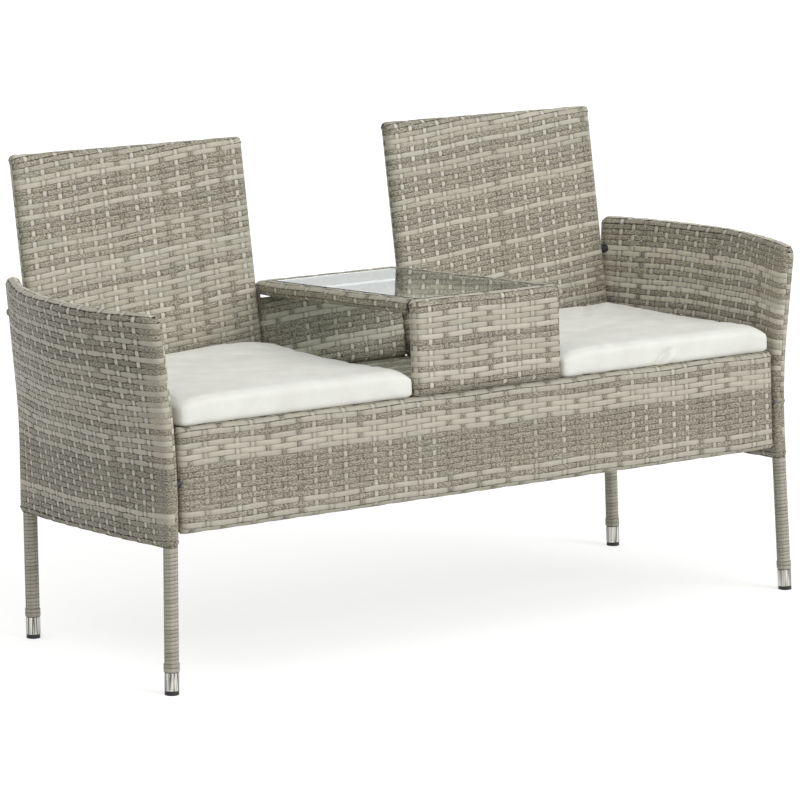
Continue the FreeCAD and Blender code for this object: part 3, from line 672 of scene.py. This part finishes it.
finish(coated_steel(), ("_frame", "side_rail", "rim_tube", "ledge", "brackets", "side_bolts"))


# Feet
# A bright barrel-shaped sleeve of plated steel is pressed on each leg, over a black moulded cap
# that stands on the floor. The spacers beside the arms are moulded like the caps.
def drawn_nickel():
    """Nickel-plated steel drawn along the leg: streaks 0.5 mm wide, drawn 3 mm wide to show, are partly
    painted reflection.
    """
    material, tree, shader = new_material("drawn nickel plate", {"Metallic": 1.0, "Roughness": 0.22})
    place = add_node(tree, "TexCoord")
    drawn = add_node(tree, "Mapping", {"Scale": (330, 330, 4)}, {0: place.outputs["Object"]})
    lines = add_node(tree, "TexNoise", {"Scale": 1.0, "Detail": 2.0}, {"Vector": drawn.outputs[0]})
    # Partly painted reflection: the streaks run from dark grey to near white in the base colour, down the
    # sleeve.
    tint = add_node(tree, "ValToRGB", links={0: lines.outputs[0]})
    tint.color_ramp.elements[0].position = 0.38
    tint.color_ramp.elements[0].color = linear("#62615C")
    tint.color_ramp.elements[1].position = 0.6
    tint.color_ramp.elements[1].color = linear("#DEDCD6")
    tree.links.new(tint.outputs[0], shader.inputs["Base Color"])
    relief = add_node(tree, "Bump", {"Strength": 0.25, "Distance": 0.0002}, {"Height": lines.outputs[0]})
    tree.links.new(relief.outputs[0], shader.inputs["Normal"])
    return material


def black_plastic():
    """Black moulded polyethylene: dull, with a spark-eroded grain about 1 mm across."""
    material, tree, shader = new_material("black moulded polyethylene", {"Roughness": 0.5, "IOR": 1.5})
    place = add_node(tree, "TexCoord")
    grit = add_node(tree, "TexNoise", {"Scale": 900.0, "Detail": 3.0}, {"Vector": place.outputs["Object"]})
    tint = add_node(tree, "ValToRGB", links={0: grit.outputs[0]})
    tint.color_ramp.elements[0].color = linear("#161616")
    tint.color_ramp.elements[1].color = linear("#242423")
    tree.links.new(tint.outputs[0], shader.inputs["Base Color"])
    relief = add_node(tree, "Bump", {"Strength": 0.3, "Distance": 0.0002}, {"Height": grit.outputs[0]})
    tree.links.new(relief.outputs[0], shader.inputs["Normal"])
    return material


finish(drawn_nickel(), ("ferrule",))
finish(black_plastic(), ("foot_cap", "side_spacers"))


# Bolts
# Zinc-plated hexagon bolts, dulled a little outdoors: four under the seat deck, and two that
# hold the table's brackets.
def zinc_plate():
    """Zinc-plated steel: grey, with the cloudy crystals of the plating about 4 mm across."""
    material, tree, shader = new_material("zinc-plated steel", {"Metallic": 1.0, "Roughness": 0.38})
    place = add_node(tree, "TexCoord")
    cloud = add_node(tree, "TexNoise", {"Scale": 250.0, "Detail": 3.0},
                     {"Vector": place.outputs["Object"]})
    tint = add_node(tree, "ValToRGB", links={0: cloud.outputs[0]})
    tint.color_ramp.elements[0].color = linear("#8B8D8E")
    tint.color_ramp.elements[1].color = linear("#B4B6B7")
    tree.links.new(tint.outputs[0], shader.inputs["Base Color"])
    return material


finish(zinc_plate(), ("deck_bolts", "bracket_bolts"))


# Glass and its pads
# A clear tempered sheet, 5 mm, with a ground and polished edge that looks green, lying on soft
# clear pads.
def clear_glass():
    """Clear float glass: smooth, with a faint green tint that gathers in the edge."""
    return new_material("clear float glass", {
        "Base Color": linear("#E9F5F0"), "Roughness": 0.01, "IOR": 1.52, "Transmission Weight": 1.0})[0]


def clear_vinyl():
    """Soft clear vinyl: milky and slightly rough."""
    return new_material("clear soft vinyl", {
        "Base Color": linear("#E2E4E0"), "Roughness": 0.3, "IOR": 1.53, "Transmission Weight": 0.6})[0]


finish(clear_glass(), ("table_glass",))
finish(clear_vinyl(), ("table_pads",))


# Seat cushions
# Two loose pads of polyester fibre in sewn covers of cream woven polyester. The fibre swells the
# covers, the rear is fuller than the front, and the cloth lies in soft folds.
cushion_half = (0.2298, 0.2158)
cushion_mid = (0.3838, -0.0086)
cushion_foot = 0.4272
cushion_tall = 0.046
cushion_corner = 0.016
cushion_edge = 0.009
voxel = 0.0045
swell_frames = 20
swell_cap = 0.005


def pad_start(x_half, y_half, corner, edge, tall):
    """A pad before it swells, as closed rings of points from the middle of its foot to that of its top.

    A ring is a rounded rectangle: its corners are superellipse arcs of power 2.6. Its inset and
    height follow a profile: in from the edge below, up the side, and in above.
    """
    power = 2.6
    flat = np.array([0.98, 0.7, 0.4, 0.15])
    angle = np.linspace(0, 2 * math.pi, 96, endpoint=False)
    bend = np.stack([np.cos(angle), np.sin(angle)], -1)
    bend = np.sign(bend) * np.abs(bend) ** (2 / power)
    core = np.sign(bend) * (np.array([x_half, y_half]) - corner)
    turn = np.linspace(0, math.pi / 2, 5)
    fall, climb = 1 - np.sin(turn), 1 - np.cos(turn)
    inset = np.concatenate([flat, edge / x_half * fall, edge / x_half * climb, flat[::-1]])
    high = np.concatenate([np.zeros(4), edge * climb, tall - edge * fall, np.full(4, tall)])
    plan = (core + bend * corner)[None] * (1 - inset)[:, None, None]
    rings = np.concatenate([plan, np.broadcast_to(high[:, None, None], plan.shape[:2] + (1,))], -1)
    index = np.arange(rings[..., 0].size).reshape(rings.shape[:2])
    ahead = np.roll(index, -1, axis=1)
    quads = np.stack([index[:-1], ahead[:-1], ahead[1:], index[1:]], -1).reshape(-1, 4)
    return rings.reshape(-1, 3), quads.tolist() + [index[0, ::-1].tolist(), index[-1].tolist()]


def swollen_pad():
    """The pad's mesh after its cover has swelled: 4.5 mm voxels, then cloth under pressure.

    No point moves further than the cap, and the whole is then fitted to the pad's size again.
    """
    points, faces = pad_start(*cushion_half, cushion_corner, cushion_edge, cushion_tall)
    mesh = bpy.data.meshes.new("pad_start")
    mesh.from_pydata(points.tolist(), [], faces)
    pad = bpy.data.objects.new("pad_start", mesh)
    bpy.context.scene.collection.objects.link(pad)
    remesh = pad.modifiers.new("voxels", "REMESH")
    remesh.mode = "VOXEL"
    remesh.voxel_size = voxel
    start = bpy.data.meshes.new_from_object(pad.evaluated_get(bpy.context.evaluated_depsgraph_get()))
    pad.modifiers.clear()
    pad.data = start
    before = np.zeros(len(start.vertices) * 3, np.float32)
    start.vertices.foreach_get("co", before)
    after = before.copy()
    cloth = pad.modifiers.new("cover", "CLOTH")
    cloth.settings.use_pressure = True
    cloth.settings.uniform_pressure_force = 4
    cloth.settings.effector_weights.gravity = 0
    for number in range(swell_frames):
        bpy.context.scene.frame_set(number + 1)
    grown = pad.evaluated_get(bpy.context.evaluated_depsgraph_get()).data
    grown.vertices.foreach_get("co", after)
    bpy.context.scene.frame_set(1)
    bpy.data.objects.remove(pad)
    before, after = before.reshape(-1, 3).astype(float), after.reshape(-1, 3).astype(float)
    move = after - before
    length = np.linalg.norm(move, axis=1, keepdims=True)
    points = before + move * np.minimum(1, swell_cap / np.maximum(length, 1e-9))
    return start, points * np.array([*cushion_half, cushion_tall]) / points.max(0)


def folded(points, folds):
    """Height that soft folds add on the pad.

    Each is a bell across its line, faded along it by a bell of the fourth power. A fold is its
    middle in x and y, the angle of its line, its half length, its half width and its height.
    """
    x, y, angle, long, wide, deep = np.array(folds).T
    from_x, from_y = points[:, :1] - x, points[:, 1:2] - y
    along = from_x * np.cos(angle) + from_y * np.sin(angle)
    across = from_y * np.cos(angle) - from_x * np.sin(angle)
    return (deep * np.exp(-(across / wide) ** 2 - (along / long) ** 4)).sum(1)


def polyester_cloth():
    """Cream woven polyester: matt, with a soft sheen.

    Its threads are 0.4 mm apart, drawn 1.3 mm apart to show. A cloud about 45 mm across shades it.
    """
    material, tree, shader = new_material("cream woven polyester", {
        "Roughness": 0.85, "IOR": 1.46, "Sheen Weight": 0.15, "Sheen Roughness": 0.5})
    place = add_node(tree, "TexCoord")
    warp, weft = [add_node(tree, "TexWave", {"bands_direction": way, "Scale": 245.0},
                           {"Vector": place.outputs["Object"]}) for way in "XY"]
    threads = add_node(tree, "Math", {"operation": "MAXIMUM"}, {0: warp.outputs[1], 1: weft.outputs[1]})
    cloud = add_node(tree, "TexNoise", {"Scale": 22.0, "Detail": 3.0}, {"Vector": place.outputs["Object"]})
    tint = add_node(tree, "ValToRGB", links={0: cloud.outputs[0]})
    tint.color_ramp.elements[0].position = 0.3
    tint.color_ramp.elements[0].color = linear("#E6E6DE")
    tint.color_ramp.elements[1].position = 0.7
    tint.color_ramp.elements[1].color = linear("#F0F1E9")
    tree.links.new(tint.outputs[0], shader.inputs["Base Color"])
    relief = add_node(tree, "Bump", {"Strength": 0.12, "Distance": 0.0003}, {"Height": threads.outputs[0]})
    tree.links.new(relief.outputs[0], shader.inputs["Normal"])
    return material


def front_crease(points):
    """How far a slanting crease low on the right cushion's front goes in.

    It is a bell across a line that climbs to the right, less a wider and lower bell 9 mm below it
    that swells out. Both fade along the line by a fourth power, and both keep to the front.
    """
    middle, deep, swell = 0.012, 0.010, 0.006
    cosine, sine = 0.77, 0.64
    from_x, from_z = points[:, 0] + middle, points[:, 2] - middle
    along, across = from_x * cosine + from_z * sine, from_z * cosine - from_x * sine
    front = np.clip(-points[:, 1] / cushion_half[1] * 6 - 5, 0, 1)
    return front * (deep * np.exp(-(across / 0.005) ** 2 - (along / 0.02) ** 4)
                    - swell * np.exp(-((across + 0.009) / 0.007) ** 2 - ((along - 0.004) / 0.02) ** 4))


polyester = polyester_cloth()
pad_mesh, pad_points = swollen_pad()
crown_rise = 0.006
rear_rise = 0.013
inner_rear_rise = 0.007
corner_drop = 0.009
corner_reach = 0.03
top_folds = [(-0.11, 0.10, 0.5, 0.10, 0.010, -0.0024), (-0.02, 0.13, 0.6, 0.08, 0.009, -0.0022),
             (0.08, 0.12, 0.9, 0.07, 0.010, -0.0026), (0.15, 0.02, 1.2, 0.09, 0.011, -0.0022),
             (-0.14, -0.05, 0.3, 0.10, 0.012, -0.0018), (0.02, -0.02, 0.4, 0.16, 0.018, -0.0020),
             (0.17, 0.17, 0.8, 0.05, 0.012, 0.0035), (-0.20, 0.03, 0.3, 0.05, 0.008, -0.0030),
             (-0.20, -0.05, 0.1, 0.05, 0.007, -0.0026), (-0.20, -0.12, -0.1, 0.05, 0.008, -0.0028),
             (-0.20, 0.11, 0.6, 0.05, 0.009, -0.0034), (0.21, -0.10, 0.2, 0.05, 0.008, -0.0024)]
for side, sign in (("right", 1), ("left", -1)):
    body = side + "_cushion"
    points = pad_points.copy()
    points[:, 2] = np.maximum(points[:, 2], 0)
    share = np.clip(points[:, 2] / cushion_tall, 0, 1.3)
    x, y = points[:, 0] / cushion_half[0], points[:, 1] / cushion_half[1]
    inner_rear = np.exp(-((x + sign * 0.6) ** 2 + (y - 0.85) ** 2) / 0.16)
    crown = crown_rise * (1 - x ** 2).clip(0) * (1 - y ** 2).clip(0)
    fuller = rear_rise * np.clip((y + 0.3) / 1.3, 0, 1) ** 1.5 + inner_rear_rise * inner_rear
    from_end = (np.abs(x) - 1) * cushion_half[0] / corner_reach
    from_front = (np.abs(y) - 1) * cushion_half[1] / corner_reach
    drawn = -corner_drop * np.exp(-from_end ** 2 - from_front ** 2)
    points[:, 2] += share * (crown + fuller + drawn + folded(points * (sign, 1, 1), top_folds))
    points[:, 1] += front_crease(points) * (sign > 0)
    points[:, :2] += np.array([sign * cushion_mid[0], cushion_mid[1]])
    points[:, 2] += cushion_foot
    mesh = pad_mesh.copy()
    mesh.name = body + "_cover"
    mesh.vertices.foreach_set("co", tilted(points).astype(np.float32).ravel())
    mesh.polygons.foreach_set("use_smooth", np.ones(len(mesh.polygons), bool))
    mesh.update()
    mesh.materials.clear()
    mesh.materials.append(polyester)
    cover = bpy.data.objects.new(body + "_cover", mesh)
    bpy.context.scene.collection.objects.link(cover)
    smooth = cover.modifiers.new("smooth", "SUBSURF")
    smooth.levels = smooth.render_levels = 1
    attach(cover, body)
    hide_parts(body)


# Floor, light and camera
# A plain white studio. The floor adds its own light for the camera and for glossy and clear
# surfaces, and keeps the bench's soft shadow. The world is white to the camera and through
# glass, and dimmer in reflections and as a light.
floor_mesh = bpy.data.meshes.new("studio_floor")
far = 60.0
corners = [(-far, -far, 0), (far, -far, 0), (far, far, 0), (-far, far, 0)]
floor_mesh.from_pydata(corners, [], [(0, 1, 2, 3)])
floor = bpy.data.objects.new("studio_floor", floor_mesh)
bpy.context.scene.collection.objects.link(floor)
floor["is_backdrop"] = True
floor_material = bpy.data.materials.new("white studio floor")
floor_material.use_nodes = True
tree = floor_material.node_tree
tree.nodes.clear()
diffuse = add_node(tree, "BsdfDiffuse", {"Color": linear("#D2D2D1")})
seen = add_node(tree, "LightPath").outputs
sharp = add_node(tree, "Math", {"operation": "MAXIMUM"},
                 {0: seen["Is Camera Ray"], 1: seen["Is Glossy Ray"]})
clear = add_node(tree, "Math", {"operation": "MAXIMUM"},
                 {0: sharp.outputs[0], 1: seen["Is Transmission Ray"]})
level = add_node(tree, "Math", {"operation": "MULTIPLY", 1: 0.6}, {0: clear.outputs[0]})
glow = add_node(tree, "Emission", {"Color": (1, 1, 1, 1)}, {"Strength": level.outputs[0]})
total = add_node(tree, "AddShader", links={0: diffuse.outputs[0], 1: glow.outputs[0]})
add_node(tree, "OutputMaterial", links={"Surface": total.outputs[0]})
floor_mesh.materials.append(floor_material)

world = bpy.data.worlds.new("white studio")
world.use_nodes = True
tree = world.node_tree
tree.nodes.clear()
seen = add_node(tree, "LightPath").outputs
clear = add_node(tree, "Math", {"operation": "MAXIMUM"},
                 {0: seen["Is Camera Ray"], 1: seen["Is Transmission Ray"]})
shiny = add_node(tree, "Math", {"operation": "MULTIPLY_ADD", 1: 0.34, 2: 0.55},
                 {0: seen["Is Glossy Ray"]})
level = add_node(tree, "Math", {"operation": "MAXIMUM"}, {0: clear.outputs[0], 1: shiny.outputs[0]})
sky = add_node(tree, "Background", {"Color": (1, 1, 1, 1)}, {"Strength": level.outputs[0]})
add_node(tree, "OutputWorld", links={"Surface": sky.outputs[0]})
bpy.context.scene.world = world

for name, toward_lamp, energy, width in (("key_lamp", (0.42, -0.85, 0.42), 1.42, 40),
                                         ("top_lamp", (-0.25, -0.2, 0.95), 0.46, 60)):
    lamp = bpy.data.lights.new(name, "SUN")
    lamp.energy = energy
    lamp.angle = math.radians(width)
    holder = bpy.data.objects.new(name, lamp)
    x, y, z = toward_lamp
    holder.rotation_euler = (math.atan2(math.hypot(x, y), z), 0, math.atan2(y, x) + math.pi / 2)
    bpy.context.scene.collection.objects.link(holder)

camera_data = bpy.data.cameras.new("camera")
camera_data.lens = 188.72
camera_data.sensor_width = 36
camera = bpy.data.objects.new("camera", camera_data)
azimuth, elevation = math.radians(-35.78), math.radians(10.34)
looked_at = np.array([-0.0268, -0.0321, 0.3763])
distance = 7.1585
plan = math.cos(elevation)
toward = np.array([math.sin(azimuth) * plan, -math.cos(azimuth) * plan, math.sin(elevation)])
camera.location = looked_at + distance * toward
camera.rotation_euler = (math.pi / 2 - elevation, 0, azimuth)
bpy.context.scene.collection.objects.link(camera)
bpy.context.scene.camera = camera
bpy.context.scene.view_settings.view_transform = "Standard"

# Sizes of the CAD model and of the finished one.
plain = lambda corners: [[float(x) for x in corner] for corner in corners]
{"cad": plain(cad_box), "visual": plain(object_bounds())}
